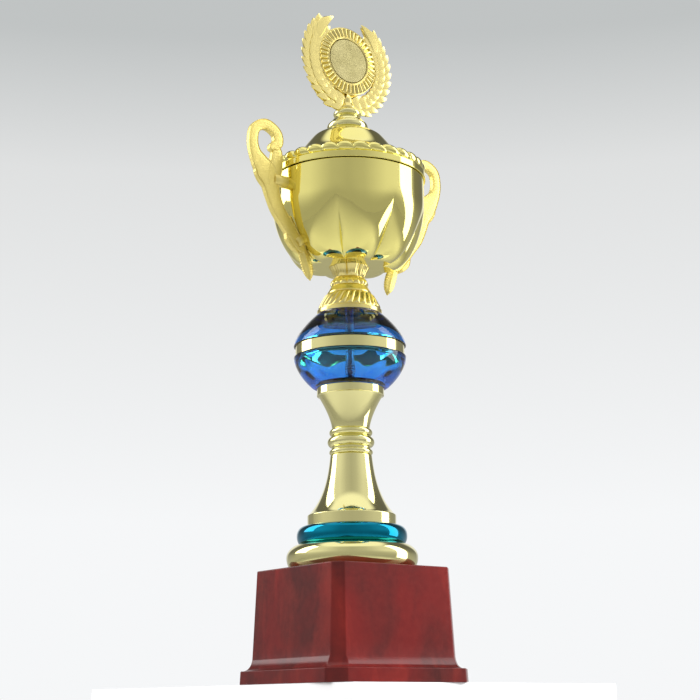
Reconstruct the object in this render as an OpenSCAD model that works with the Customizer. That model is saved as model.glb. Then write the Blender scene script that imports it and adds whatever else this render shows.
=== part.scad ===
// Cup trophy: a square plinth, a turned column, a two-part ball, a lobed cup with
// two handles, and a loose lid with a laurel wreath that holds a centre disc.
// Origin: centre of the plinth's underside. +Z up, the front faces -Y, handles on +X and -X.

/* [Plinth] */
// Width of the square foot
foot_w = 90; // [80:1:110]
// Height of the foot's straight edge
foot_h = 7; // [5:0.5:9]
// Width of the box just above the foot
box_w = 78.4; // [70:0.2:84]
// Width of the box at its top
box_top_w = 74.6; // [68:0.2:80]
// Height of the plinth
plinth_h = 57.8; // [50:0.2:80]
// Height of the slope between the foot and the box
cove_h = 5.8; // [3:0.2:8]
// Wall of the plinth moulding
plinth_wall = 2.2; // [1.5:0.1:3]
// Corner cut of the foot
foot_cut = 7.9; // [5:0.1:9]
// Corner cut of the box at its foot
box_cut = 5.4; // [4:0.1:7]
// Corner cut of the box at its top
box_top_cut = 4.6; // [4:0.1:7]
// Thickness of the foam sheet that closes the underside
cover_t = 2.5; // [1.5:0.5:4]
// Thickness of the cast-iron ballast plate
ballast_t = 10; // [6:1:14]

/* [Tie rod and nuts] */
// Diameter of the threaded rod that clamps the stack
rod_d = 5; // [4:1:6]
// Width of a rod nut across its flats
nut_af = 8; // [7:0.5:10]
// Height of a rod nut
nut_h = 4; // [3:0.5:5]
// Thread that shows past a nut
rod_end = 2.5; // [1:0.5:5]
// Diameter of the washer in the plinth
plinth_washer_d = 26; // [16:1:32]
// Diameter of the washer in the cup
cup_washer_d = 18; // [12:1:22]
// Thickness of a washer
washer_t = 1.4; // [1:0.2:2]

/* [Rings] */
// Widest radius of the gold ring
gold_r = 34.1; // [30:0.1:36]
// Height of the gold ring
gold_h = 12.4; // [9:0.2:15]
// Widest radius of the blue ring
blue_r = 28.7; // [25:0.1:29]
// Height of the blue ring
blue_h = 9.7; // [7:0.1:12]
// Wall of the moulded rings, column and stem
skin = 2; // [1.5:0.1:2.5]

/* [Column] */
// Radius of the band at the column's foot
col_foot_r = 23.1; // [21:0.1:24]
// Height of the column
col_h = 73.5; // [60:0.5:95]
// Radius of the middle bead
bead_r = 12.4; // [11.5:0.1:14]
// Radius of the band at the column's top
col_top_r = 17.8; // [16:0.1:19]

/* [Ball] */
// Widest radius of the ball's clear halves
ball_r = 30; // [28:0.5:33]
// Height of the lower half
lower_h = 16.7; // [14:0.1:20]
// Height of the gold ring between the halves
band_h = 5.9; // [4:0.1:8]
// How far that ring lies inside the ball's widest radius
band_inset = 0.9; // [0.5:0.1:2]
// Height of the upper half
upper_h = 17.5; // [15:0.1:21]
// Wall of the clear halves
ball_wall = 2.6; // [2:0.1:3]

/* [Stem] */
// Height of the stem between the ball and the cup
stem_h = 26.4; // [22:0.2:32]
// Radius of the stem's foot
stem_foot_r = 17.5; // [16:0.1:19]
// Radius of the stem's waist
stem_waist_r = 8.2; // [7.5:0.1:9]

/* [Cup] */
// Widest radius of the cup
cup_r = 41.4; // [38:0.1:50]
// Height of the cup
cup_h = 48.4; // [42:0.2:58]
// Height over which the lobes run
lobe_h = 34; // [28:1:38]
// Number of lobes round the cup
lobes = 8; // [8, 16]
// Depth of the valleys between the lobes
valley = 5; // [3:0.2:6]
// Thickness of the cup's sheet metal
cup_t = 1; // [0.8:0.1:1.5]

/* [Lid] */
// How far the lid's rim reaches past the cup
lid_lip = 1; // [0.6:0.1:1.4]
// Gap between the lid and the cup, under the rim and round the skirt
lid_gap = 0.3; // [0.2:0.05:0.5]
// Height of the lid's rim band
rim_h = 3.4; // [2.5:0.1:5]
// Height of the lid above its rim band
lid_h = 25; // [20:0.5:32]
// Depth of the skirt that drops into the cup
skirt_h = 4.4; // [3:0.2:7]
// Number of beads round the lid
lid_beads = 30; // [24:1:32]
// Thickness of the lid's sheet metal
lid_t = 1; // [0.8:0.1:1.5]

/* [Finial] */
// Height of the turned neck
neck_h = 14; // [11:0.5:18]
// Height of the wreath's middle above the neck
wreath_rise = 29; // [26:0.5:34]
// Radius of the sunburst ring in the wreath
sun_r = 19.8; // [18:0.1:21]
// Widest half-width of the wreath
wreath_r = 29.6; // [27:0.1:33]
// Thickness of the wreath casting
wreath_t = 4.4; // [4:0.1:6]
// Diameter of the centre disc
disc_d = 25; // [20:0.5:30]
// Thickness of the centre disc
disc_t = 1.2; // [0.8:0.1:1.8]
// Diameter of the screw that holds the finial
finial_screw_d = 4; // [3:1:5]

/* [Handles] */
// Thickness of a handle casting
handle_t = 3.6; // [3:0.1:5]
// Gap between a handle and the lid as the lid lifts
lift_gap = 1.1; // [0.6:0.1:2]
// Diameter of a handle screw
handle_screw_d = 3; // [2.5:0.5:3.5]
// Diameter of a boss where a handle meets the cup
boss_d = 6.4; // [5:0.2:8]

/* [Hidden] */
$fn = 64;

// Clearances
hole_gap = 0.2;    // round the rod and screws where they pass through
thread_gap = 0.04; // between a thread and its nut
fit_gap = 0.3;     // round a sheet or disc that drops into a recess
touch = 0.05;      // between two curved faces that bear on each other
over = 1;          // how far a cutting shape runs past what it cuts
slice = 0.01;      // thickness of the slices that a drafted block is stretched between

// Levels of the stack, from the table up
gold_z = plinth_h;
blue_z = gold_z + gold_h;
col_z = blue_z + blue_h;
lower_z = col_z + col_h;
band_z = lower_z + lower_h;
upper_z = band_z + band_h;
stem_z = upper_z + upper_h;
cup_z = stem_z + stem_h;
rim_z = cup_z + cup_h;
lid_z = rim_z + lid_gap;
dome_z = lid_z + rim_h;
neck_z = dome_z + lid_h;
wreath_z = neck_z + neck_h;
disc_z = wreath_z + wreath_rise;

// Rod, nuts and washers
rod_r = rod_d / 2;
rod_hole_r = rod_r + hole_gap;
ballast_z = plinth_h - plinth_wall - ballast_t;
base_washer_z = ballast_z - washer_t;
base_nut_z = base_washer_z - nut_h;
rod_z = base_nut_z - rod_end;
cup_washer_z = cup_z + cup_t;
cup_nut_z = cup_washer_z + washer_t;
rod_top = cup_nut_z + nut_h + rod_end;

// Plinth
cove_w = foot_w - 2.6;
foot_top_w = foot_w - 0.6;
cavity_w = box_w - 2 * plinth_wall;
cavity_top_w = box_top_w - 2 * plinth_wall;
cover_w = foot_w - 2 * plinth_wall - 2 * fit_gap;
ballast_w = cavity_top_w - 2;

// Lid
lid_r = cup_r + lid_lip;
skirt_r = cup_r - cup_t - lid_gap;
dome_r = lid_r - 3.9;
lid_shoulder_r = 18;
bead_ball_r = 3.6;
bead_ring_r = lid_r - 0.4 - bead_ball_r;
neck_r = 11.4;

// Cup
bowl_foot_r = 22;
lobe_fade_h = 20;
bowl_curve_h = 32;
wall_rows = 14;
wall_steps = 12;

// Handles, outwards from the axis and upwards from the cup's rim
handle_in = lid_r + lift_gap;
screw_head_r = 2.7;
screw_head_h = 1.8;
top_screw_z = lid_z - skirt_h - screw_head_r - 1.2;
low_screw_z = cup_z + 10.5;
low_screw_tilt = 36;
low_screw_r = wall_r(low_screw_z) - valley_at(low_screw_z);
screw_r = handle_screw_d / 2;
screw_reach = 6.5;

// Points on an arc about c, from angle a to angle b
function arc(c, r, a, b, n = 8) =
    [for (i = [0:n]) let (t = a + (b - a) * i / n) c + r * [cos(t), sin(t)]];

// Points on a curve from p to q that leaves towards u and arrives from v
function curve(p, u, v, q, n = 8) =
    [for (i = [0:n]) let (t = i / n, s = 1 - t)
        s * s * s * p + 3 * s * s * t * u + 3 * s * t * t * v + t * t * t * q];

// Smooth step from 0 to 1
function ease(t) = let (s = max(0, min(1, t))) s * s * (3 - 2 * s);

module turned(points) {
    rotate_extrude() polygon(points);
}

module rod_hole(z, h) {
    translate([0, 0, z - over]) cylinder(r = rod_hole_r, h = h + 2 * over);
}

// A square of width w with its corners cut off by c along each side
module cut_square(w, c) {
    h = w / 2;
    polygon([[h, c - h], [h, h - c], [h - c, h], [c - h, h],
             [-h, h - c], [-h, c - h], [c - h, -h], [h - c, -h]]);
}

// A block that changes evenly from width w0 and cut c0 at z0 to w1 and c1 at z1
module drafted(z0, w0, c0, z1, w1, c1) {
    hull() {
        translate([0, 0, z0]) linear_extrude(slice) cut_square(w0, c0);
        translate([0, 0, z1 - slice]) linear_extrude(slice) cut_square(w1, c1);
    }
}

module nut(z) {
    color("silver") translate([0, 0, z]) difference() {
        cylinder(d = nut_af / cos(30), h = nut_h, $fn = 6);
        translate([0, 0, -over]) cylinder(r = rod_r + thread_gap, h = nut_h + 2 * over);
    }
}

module washer(z, d, hole_r) {
    color("silver") translate([0, 0, z]) difference() {
        cylinder(d = d, h = washer_t);
        translate([0, 0, -over]) cylinder(r = hole_r, h = washer_t + 2 * over);
    }
}

// The cut of a wall's inner face, which lies one wall in from a cut of c
function inner_cut(c) = c - plinth_wall * (2 - sqrt(2));

module base_shell() {
    step_z = foot_h - plinth_wall;
    box_z = foot_h + cove_h;
    color("firebrick") difference() {
        union() {
            drafted(0, foot_w, foot_cut, foot_h, foot_top_w, foot_cut);
            drafted(foot_h - slice, cove_w, foot_cut, box_z, box_w, box_cut);
            drafted(box_z - slice, box_w, box_cut, plinth_h, box_top_w, box_top_cut);
        }
        drafted(step_z, cavity_w, inner_cut(box_cut),
                plinth_h - plinth_wall, cavity_top_w, inner_cut(box_top_cut));
        translate([0, 0, -over]) linear_extrude(step_z + over + slice)
            cut_square(foot_w - 2 * plinth_wall, inner_cut(foot_cut));
        rod_hole(plinth_h - plinth_wall, plinth_wall);
    }
}

module base_cover() {
    color("black") linear_extrude(cover_t) cut_square(cover_w, inner_cut(foot_cut));
}

module ballast_plate() {
    color("dimgray") difference() {
        translate([0, 0, ballast_z]) linear_extrude(ballast_t)
            cut_square(ballast_w, inner_cut(box_top_cut));
        rod_hole(ballast_z, ballast_t);
    }
}

module base_washer() washer(base_washer_z, plinth_washer_d, rod_hole_r);

module base_nut() nut(base_nut_z);

module tie_rod() {
    color("silver") translate([0, 0, rod_z]) cylinder(r = rod_r, h = rod_top - rod_z);
}

module gold_ring() {
    foot_r = gold_r - 2.2;
    top_r = blue_r - 0.4;
    color("gold") turned(concat(
        [[rod_hole_r, gold_z + gold_h]],
        curve([top_r, gold_z + gold_h], [top_r + 2, gold_z + gold_h],
              [gold_r, gold_z + gold_h * 0.78], [gold_r, gold_z + gold_h / 2]),
        curve([gold_r, gold_z + gold_h / 2], [gold_r, gold_z + gold_h * 0.25],
              [foot_r + 1.2, gold_z + gold_h * 0.1], [foot_r, gold_z]),
        [[foot_r - skin, gold_z], [gold_r - 1 - skin, gold_z + gold_h / 2],
         [top_r - skin, gold_z + gold_h - skin], [rod_hole_r, gold_z + gold_h - skin]]));
}

module blue_ring() {
    foot_r = blue_r - 2.4;
    top_r = col_foot_r + 1.6;
    color("teal") turned(concat(
        [[rod_hole_r, blue_z + blue_h]],
        curve([top_r, blue_z + blue_h], [top_r + 2.4, blue_z + blue_h],
              [blue_r, blue_z + blue_h * 0.8], [blue_r, blue_z + blue_h * 0.48]),
        curve([blue_r, blue_z + blue_h * 0.48], [blue_r, blue_z + blue_h * 0.2],
              [foot_r + 1, blue_z], [foot_r, blue_z]),
        [[foot_r - skin, blue_z], [blue_r - skin - 0.8, blue_z + blue_h / 2],
         [top_r - skin, blue_z + blue_h - skin], [rod_hole_r, blue_z + blue_h - skin]]));
}

// Outline of the column: foot band, sinking flare, three beads, rising flare, top band
band_foot_h = 5.8;
band_top_h = 4.3;
bead_zone_z = col_z + col_h * 0.508;
bead_zone_h = 14.4;
waist_r = bead_r - 2.4;
fall_z = col_z + band_foot_h + 0.6;
rise_z = bead_zone_z + bead_zone_h;
rise_top_z = col_z + col_h - band_top_h;

function fall_r(z) = waist_r - 0.4 + (col_foot_r - waist_r - 0.5) * exp((fall_z - z) / 14);
function rise_r(z) =
    waist_r + (col_top_r - 0.8 - waist_r) * pow((z - rise_z) / (rise_top_z - rise_z), 1.5);

function fall_at(i) = fall_z + (bead_zone_z - fall_z) * i / 12;
function rise_at(i) = rise_z + (rise_top_z - rise_z) * i / 8;

module column() {
    z = bead_zone_z;
    top_z = col_z + col_h;
    color("khaki") turned(concat(
        [[col_foot_r, col_z], [col_foot_r, col_z + band_foot_h]],
        [for (i = [0:12]) [fall_r(fall_at(i)), fall_at(i)]],
        arc([bead_r - 2.4, z + 1.7], 1.5, -90, 90),
        arc([bead_r - 3, z + 7.1], 3, -75, 75),
        arc([bead_r - 3, z + 12.2], 2, -90, 90),
        [for (i = [0:8]) [rise_r(rise_at(i)), rise_at(i)]],
        [[col_top_r, rise_top_z], [col_top_r, top_z], [rod_hole_r, top_z],
         [rod_hole_r, top_z - skin], [col_top_r - skin, top_z - skin],
         [col_top_r - skin, rise_top_z + 1]],
        [for (i = [8:-1:0]) [rise_r(rise_at(i)) - skin, rise_at(i)]],
        [for (i = [12:-1:1]) [fall_r(fall_at(i)) - skin, fall_at(i)]],
        [[col_foot_r - skin, fall_z - 1], [col_foot_r - skin, col_z]]));
}

// Outlines of the ball's halves, from the pole to the joint, set in by d
ball_foot_r = col_top_r + 2.4;
function lower_outline(d) = curve([ball_foot_r - d, lower_z + 0.6 + d],
    [ball_foot_r + 3.2 - d, lower_z + 3 + d], [ball_r - 0.4 - d, lower_z + 10],
    [ball_r - d, band_z], 12);
function upper_outline(d) = curve([ball_r - d, upper_z],
    [ball_r - 0.8 - d, upper_z + 5.5], [stem_foot_r + 6 - d, upper_z + 12.3 - d],
    [stem_foot_r - d, stem_z - d], 12);

module ball_lower() {
    color("royalblue", 0.6) turned(concat(
        [[rod_hole_r, lower_z], [ball_foot_r - 1.4, lower_z]],
        lower_outline(0),
        [for (i = [12:-1:0]) lower_outline(ball_wall)[i]],
        [[rod_hole_r, lower_z + 0.6 + ball_wall]]));
}

module ball_ring() {
    lip_r = ball_r - ball_wall - hole_gap;
    lip_h = 1.5;
    color("gold") difference() {
        union() {
            translate([0, 0, band_z]) cylinder(r = ball_r - band_inset, h = band_h);
            translate([0, 0, band_z - lip_h]) cylinder(r = lip_r - 0.6, h = band_h + 2 * lip_h);
        }
        translate([0, 0, band_z - over - lip_h])
            cylinder(r = lip_r - 1.8, h = band_h + 2 * (over + lip_h));
    }
}

module ball_upper() {
    color("royalblue", 0.6) turned(concat(
        upper_outline(0),
        [[rod_hole_r, stem_z], [rod_hole_r, stem_z - ball_wall]],
        [for (i = [12:-1:0]) upper_outline(ball_wall)[i]]));
}

// Outline of the stem: ribbed skirt, waist and leaf calyx
calyx_r = stem_waist_r + 2.2;
waist_z = stem_z + stem_h * 0.77;
function skirt_outline(d) = curve([stem_foot_r - 0.3 - d, stem_z + 2.4],
    [stem_foot_r - 1.6 - d, stem_z + 7], [stem_waist_r + 2 - d, stem_z + 13],
    [stem_waist_r - d, waist_z], 10);
function calyx_outline(d) = curve([stem_waist_r - d, waist_z], [stem_waist_r - d, waist_z + 3],
    [calyx_r - 1 - d, cup_z - 2], [calyx_r - d, cup_z], 5);

module stem() {
    color("gold") turned(concat(
        [[stem_foot_r, stem_z], [stem_foot_r, stem_z + 2]],
        skirt_outline(0), calyx_outline(0),
        [[rod_hole_r, cup_z], [rod_hole_r, cup_z - skin],
         [calyx_r - 1 - skin, cup_z - skin]],
        [for (i = [10:-1:0]) skirt_outline(skin)[i]],
        [[stem_foot_r - skin, stem_z]]));
}

// The cup's wall: a rounded bowl whose lower part is pressed into lobes
function wall_r(z) = let (t = max(0, (cup_z + bowl_curve_h - z) / bowl_curve_h))
    bowl_foot_r + (cup_r - bowl_foot_r) * sqrt(max(0, 1 - pow(min(1, t), 1.7)));
function valley_at(z) = valley * (1 - ease((z - cup_z - lobe_h) / lobe_fade_h + 1));
function lobed_r(z, a) = wall_r(z) - valley_at(z) * (1 - pow(abs(sin(a * lobes / 2)), 0.8));
function row_z(i) = cup_z + cup_h * pow(i / wall_rows, 1.6);

// The solid inside the wall's outer face, set in by d and raised by lift
module cup_solid(d, lift, top) {
    n = lobes * wall_steps;
    ring = [for (i = [0:wall_rows], j = [0:n - 1])
        let (a = 360 * j / n, z = row_z(i), r = lobed_r(z, a) - d)
        [r * cos(a), r * sin(a), i == wall_rows ? top : z + lift * (1 - i / wall_rows)]];
    sides = [for (i = [0:wall_rows - 1], j = [0:n - 1])
        let (k = (j + 1) % n) [i * n + j, (i + 1) * n + j, (i + 1) * n + k, i * n + k]];
    polyhedron(ring, concat(sides, [[for (j = [0:n - 1]) j],
        [for (j = [n - 1:-1:0]) wall_rows * n + j]]), convexity = 6);
}

// A screw's line: along the radius at the rim, tilted down with the wall in the valley
module at_top_screw() {
    translate([cup_r, 0, top_screw_z]) rotate([0, 90, 0]) children();
}

module at_low_screw() {
    translate([low_screw_r, 0, low_screw_z]) rotate([0, 90 + low_screw_tilt, 0]) children();
}

module both_sides() {
    children();
    mirror([1, 0, 0]) children();
}

module screw_hole() {
    translate([0, 0, -screw_reach]) cylinder(r = screw_r + hole_gap, h = screw_reach + over);
}

module tapped_hole() {
    translate([0, 0, -over]) cylinder(r = screw_r + thread_gap, h = screw_reach);
}

module cup_bowl() {
    color("khaki") difference() {
        cup_solid(0, 0, rim_z);
        cup_solid(cup_t, cup_t, rim_z + over);
        rod_hole(cup_z, cup_t);
        both_sides() {
            at_top_screw() screw_hole();
            at_low_screw() screw_hole();
        }
    }
}

module cup_washer() washer(cup_washer_z, cup_washer_d, rod_hole_r);

module cup_nut() nut(cup_nut_z);

// Outline of the right handle in the X-Z plane: crook, back, leaf, and the inner edge.
// The upper points follow the lid's edge, and the lower ones the valley that they touch.
hx = handle_in;
lx = low_screw_r;
crook_z = rim_z + 13.9;
crook = [hx + 11.3, crook_z];
function handle_outline() = concat(
    arc(crook, 10.6, -10, 180),
    [[hx, rim_z + 9.5], [hx + 2.4, rim_z + 8.6], [hx + 1, rim_z + 4], [hx, rim_z + 4],
     [hx, top_screw_z + 2], [hx + 0.6, rim_z - 19], [hx - 2.9, rim_z - 24],
     [lx + 4.7, rim_z - 32], [lx - 0.4, cup_z + 11], [lx - 3.3, cup_z + 9],
     [lx - 3.3, cup_z + 6.4], [lx - 5.5, cup_z - 1], [lx - 6.5, cup_z - 5],
     [lx - 4.3, cup_z - 11.4], [lx - 1.1, cup_z - 5.6], [lx + 0.7, cup_z + 0.5],
     [lx + 5.6, cup_z + 4.6], [lx + 11.1, cup_z + 10], [hx + 5, cup_z + 18],
     [hx + 9.5, rim_z - 23], [hx + 13.9, rim_z - 11.4], [hx + 16.5, rim_z - 6],
     [hx + 15.7, rim_z - 5], [hx + 18.9, rim_z - 1.4], [hx + 21.3, rim_z + 8.4]]);

// The drop-shaped hole inside the crook, with the curl's tip on its inner side
function crook_hole() = concat(
    arc(crook + [-0.9, 0.4], 4.2, 190, 0, 7),
    [[hx + 14.5, rim_z + 9.6], [hx + 11.4, rim_z + 5.2], [hx + 8.1, rim_z + 1.6],
     [hx + 7.8, rim_z + 8.8], [hx + 8, rim_z + 11.2]]);

module handle_casting() {
    difference() {
        union() {
            rotate([90, 0, 0]) translate([0, 0, -handle_t / 2]) linear_extrude(handle_t)
                difference() {
                    polygon(handle_outline());
                    polygon(crook_hole());
                }
            at_top_screw() translate([0, 0, -1]) cylinder(d = boss_d, h = 5);
            at_low_screw() translate([0, 0, -3]) cylinder(d = boss_d, h = 7);
        }
        at_top_screw() tapped_hole();
        at_low_screw() tapped_hole();
        translate([0, 0, rim_z - 1]) cylinder(r = handle_in, h = 60);
    }
}

// The cup's outer face with a little air, which a handle's feet are cut to
module cup_seat() {
    cup_solid(-touch, -touch, rim_z + over);
}

module handle_right() {
    color("goldenrod") difference() {
        handle_casting();
        cup_seat();
    }
}

module handle_left() {
    color("goldenrod") difference() {
        mirror([1, 0, 0]) handle_casting();
        cup_seat();
    }
}

module screw(sink) {
    translate([0, 0, -cup_t - sink - screw_head_h]) cylinder(r = screw_head_r, h = screw_head_h);
    translate([0, 0, -cup_t - sink - 0.5]) cylinder(r = screw_r, h = cup_t + sink + 4.4);
}

module handle_screws() {
    color("silver") both_sides() {
        at_top_screw() screw(0.2);
        at_low_screw() screw(0.6);
    }
}

// The lid's outer face from the rim band to the neck
function dome_outline(d) = concat(
    curve([dome_r - d, dome_z + 5.6 - d], [dome_r - 9 - d, dome_z + 7 - d],
          [26 - d, dome_z + 14 - d], [lid_shoulder_r + 2 - d, dome_z + lid_h - 4 - d], 10),
    curve([lid_shoulder_r + 2 - d, dome_z + lid_h - 4 - d],
          [lid_shoulder_r - d, dome_z + lid_h - 1.6 - d],
          [neck_r + 3 - d, dome_z + lid_h - 0.4 - d], [neck_r, dome_z + lid_h - d], 5));

module lid_shell() {
    hole_r = finial_screw_d / 2 + hole_gap;
    color("khaki") difference() {
        union() {
            turned(concat(
                [[skirt_r - lid_t, lid_z - skirt_h], [skirt_r, lid_z - skirt_h], [skirt_r, lid_z],
                 [lid_r, lid_z], [lid_r, dome_z], [lid_r - 0.9, dome_z + 0.6],
                 [lid_r - 0.9, dome_z + 4.2]],
                dome_outline(0),
                [[hole_r, neck_z], [hole_r, neck_z - lid_t]],
                [for (i = [len(dome_outline(0)) - 1:-1:0]) dome_outline(lid_t)[i]],
                [[skirt_r - lid_t, dome_z + 3]]));
            for (i = [0:lid_beads - 1]) rotate(360 * i / lid_beads)
                translate([bead_ring_r, 0, dome_z + 2.6]) sphere(r = bead_ball_r, $fn = 24);
        }
        translate([0, 0, dome_z - 5])
            cylinder(r = skirt_r - lid_t, h = 5 + 3);
    }
}

module finial_neck() {
    hole_r = finial_screw_d / 2 + hole_gap;
    z = neck_z;
    color("gold") turned(concat(
        [[hole_r, z], [neck_r - 1, z]],
        arc([neck_r - 3, z + 3.2], 3, -70, 75),
        [[8.4, z + 7.6], [6, z + 8.8]],
        arc([5.9, z + 11.2], 1.9, -80, 80),
        [[5.6, z + neck_h], [hole_r, z + neck_h]]));
}

// Half outline of the wreath's leaves, from the foot up the outside and back down inside
function wreath_half() = [
    [0, wreath_z], [4.6, wreath_z], [7, wreath_z + 1.2], [11.8, wreath_z - 1.8],
    [20.6, disc_z - 26.5], [25, disc_z - 19.5], [wreath_r - 1.6, disc_z - 13],
    [wreath_r, disc_z - 3], [wreath_r - 0.3, disc_z + 4], [25, disc_z + 15],
    [19, disc_z + 21], [9.7, disc_z + 24.6], [13, disc_z + 17], [0, disc_z]];

module wreath_holder() {
    color("gold") difference() {
        union() {
            rotate([90, 0, 0]) translate([0, 0, -wreath_t / 2]) linear_extrude(wreath_t * 0.7)
                both_halves(wreath_half());
            rotate([90, 0, 0]) translate([0, disc_z, -wreath_t / 2])
                cylinder(r = sun_r, h = wreath_t);
            translate([0, 0, wreath_z]) cylinder(r = 4.6, h = 8);
        }
        rotate([90, 0, 0]) translate([0, disc_z, wreath_t / 2 - disc_t - 0.6])
            cylinder(r = disc_d / 2 + fit_gap, h = disc_t + 0.6 + over);
        translate([0, 0, wreath_z - over])
            cylinder(r = finial_screw_d / 2 + thread_gap, h = 7 + over);
    }
}

module both_halves(points) {
    polygon(points);
    mirror([1, 0]) polygon(points);
}

module centre_disc() {
    color("darkkhaki") rotate([90, 0, 0]) translate([0, disc_z, wreath_t / 2 - disc_t - 0.6])
        cylinder(d = disc_d, h = disc_t);
}

module finial_screw() {
    r = finial_screw_d / 2;
    z = neck_z - lid_t - washer_t;
    head_z = z - 2.4;
    color("silver") turned([[0, head_z], [2 * r, head_z], [2 * r, z], [r, z],
                            [r, wreath_z + 6], [0, wreath_z + 6]]);
}

module finial_washer() {
    washer(neck_z - lid_t - washer_t, 14, finial_screw_d / 2 + hole_gap);
}

base_shell();
base_cover();
ballast_plate();
base_washer();
base_nut();
tie_rod();
gold_ring();
blue_ring();
column();
ball_lower();
ball_ring();
ball_upper();
stem();
cup_bowl();
cup_washer();
cup_nut();
handle_left();
handle_right();
handle_screws();
lid_shell();
finial_neck();
wreath_holder();
centre_disc();
finial_screw();
finial_washer();
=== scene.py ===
import bmesh
import bpy
import numpy as np
from mathutils import Matrix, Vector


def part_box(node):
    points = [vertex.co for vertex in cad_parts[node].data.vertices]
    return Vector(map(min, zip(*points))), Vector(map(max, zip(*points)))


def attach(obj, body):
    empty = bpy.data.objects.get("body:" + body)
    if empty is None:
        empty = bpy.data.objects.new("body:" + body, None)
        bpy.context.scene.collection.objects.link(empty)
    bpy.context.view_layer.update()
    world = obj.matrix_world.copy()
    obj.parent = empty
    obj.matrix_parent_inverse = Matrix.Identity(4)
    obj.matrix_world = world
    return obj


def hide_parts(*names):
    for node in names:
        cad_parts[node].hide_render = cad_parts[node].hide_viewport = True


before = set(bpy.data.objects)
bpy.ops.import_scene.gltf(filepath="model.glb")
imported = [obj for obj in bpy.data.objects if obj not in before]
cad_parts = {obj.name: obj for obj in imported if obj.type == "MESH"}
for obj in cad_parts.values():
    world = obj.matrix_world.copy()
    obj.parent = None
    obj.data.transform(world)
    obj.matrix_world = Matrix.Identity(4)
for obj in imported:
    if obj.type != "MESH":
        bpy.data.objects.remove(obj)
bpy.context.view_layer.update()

MM = 0.001
TURNS = 192          # steps round a turned piece
ROD_HOLE = 2.7       # radius of the hole that the tie rod passes through, mm
SCREW_HOLE = 2.2     # radius of the hole that the finial screw passes through, mm
HEADING = np.array([0.6003, 0.7998])     # where the camera looks, seen from above
TO_CAMERA = -HEADING

pi = np.pi


# ---------------------------------------------------------------- levels, from the frame

def level(node, top=False):
    """Height of a CAD node's bottom or top, in mm."""
    low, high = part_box(node)
    return (high[2] if top else low[2]) / MM


def half_width(node):
    """How far a CAD node reaches from the axis along +X, in mm."""
    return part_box(node)[1][0] / MM


PLINTH_TOP = level("base_shell", top=True)
GOLD_Z, BLUE_Z, COLUMN_Z = level("gold_ring"), level("blue_ring"), level("column")
LOWER_Z = level("ball_lower")
BAND_Z, UPPER_Z = level("ball_lower", top=True), level("ball_upper")
STEM_Z, CUP_Z = level("stem"), level("cup_bowl")
RIM_Z = level("cup_bowl", top=True)
LID_Z = RIM_Z + 0.3
DOME_Z = LID_Z + 3.4
NECK_Z, WREATH_Z = level("finial_neck"), level("finial_neck", top=True)
DISC_Z = (level("centre_disc") + level("centre_disc", top=True)) / 2
CUP_R = half_width("cup_bowl")
LID_R = CUP_R + 1


# ---------------------------------------------------------------- camera

def make_camera():
    """A long lens a little below the table top, looking up at the cup from its front left corner."""
    pitch, roll = np.radians(13.296), np.radians(-0.643)
    place = (-0.4771, -0.6357, -0.0134)
    forward = np.array([*(HEADING * np.cos(pitch)), np.sin(pitch)])
    level_right = np.cross(forward, [0, 0, 1])
    level_right /= np.linalg.norm(level_right)
    level_up = np.cross(level_right, forward)
    right = level_right * np.cos(roll) + level_up * np.sin(roll)
    up = level_up * np.cos(roll) - level_right * np.sin(roll)
    data = bpy.data.cameras.new("studio_camera")
    data.sensor_width = 36
    data.lens = 78.62
    data.clip_start = 0.01
    camera = bpy.data.objects.new("studio_camera", data)
    turn = Matrix([[right[i], up[i], -forward[i]] for i in range(3)]).to_4x4()
    camera.matrix_world = Matrix.Translation(place) @ turn
    bpy.context.collection.objects.link(camera)
    bpy.context.scene.camera = camera


make_camera()
bpy.context.scene.view_settings.view_transform = "Standard"


# ---------------------------------------------------------------- materials

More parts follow.
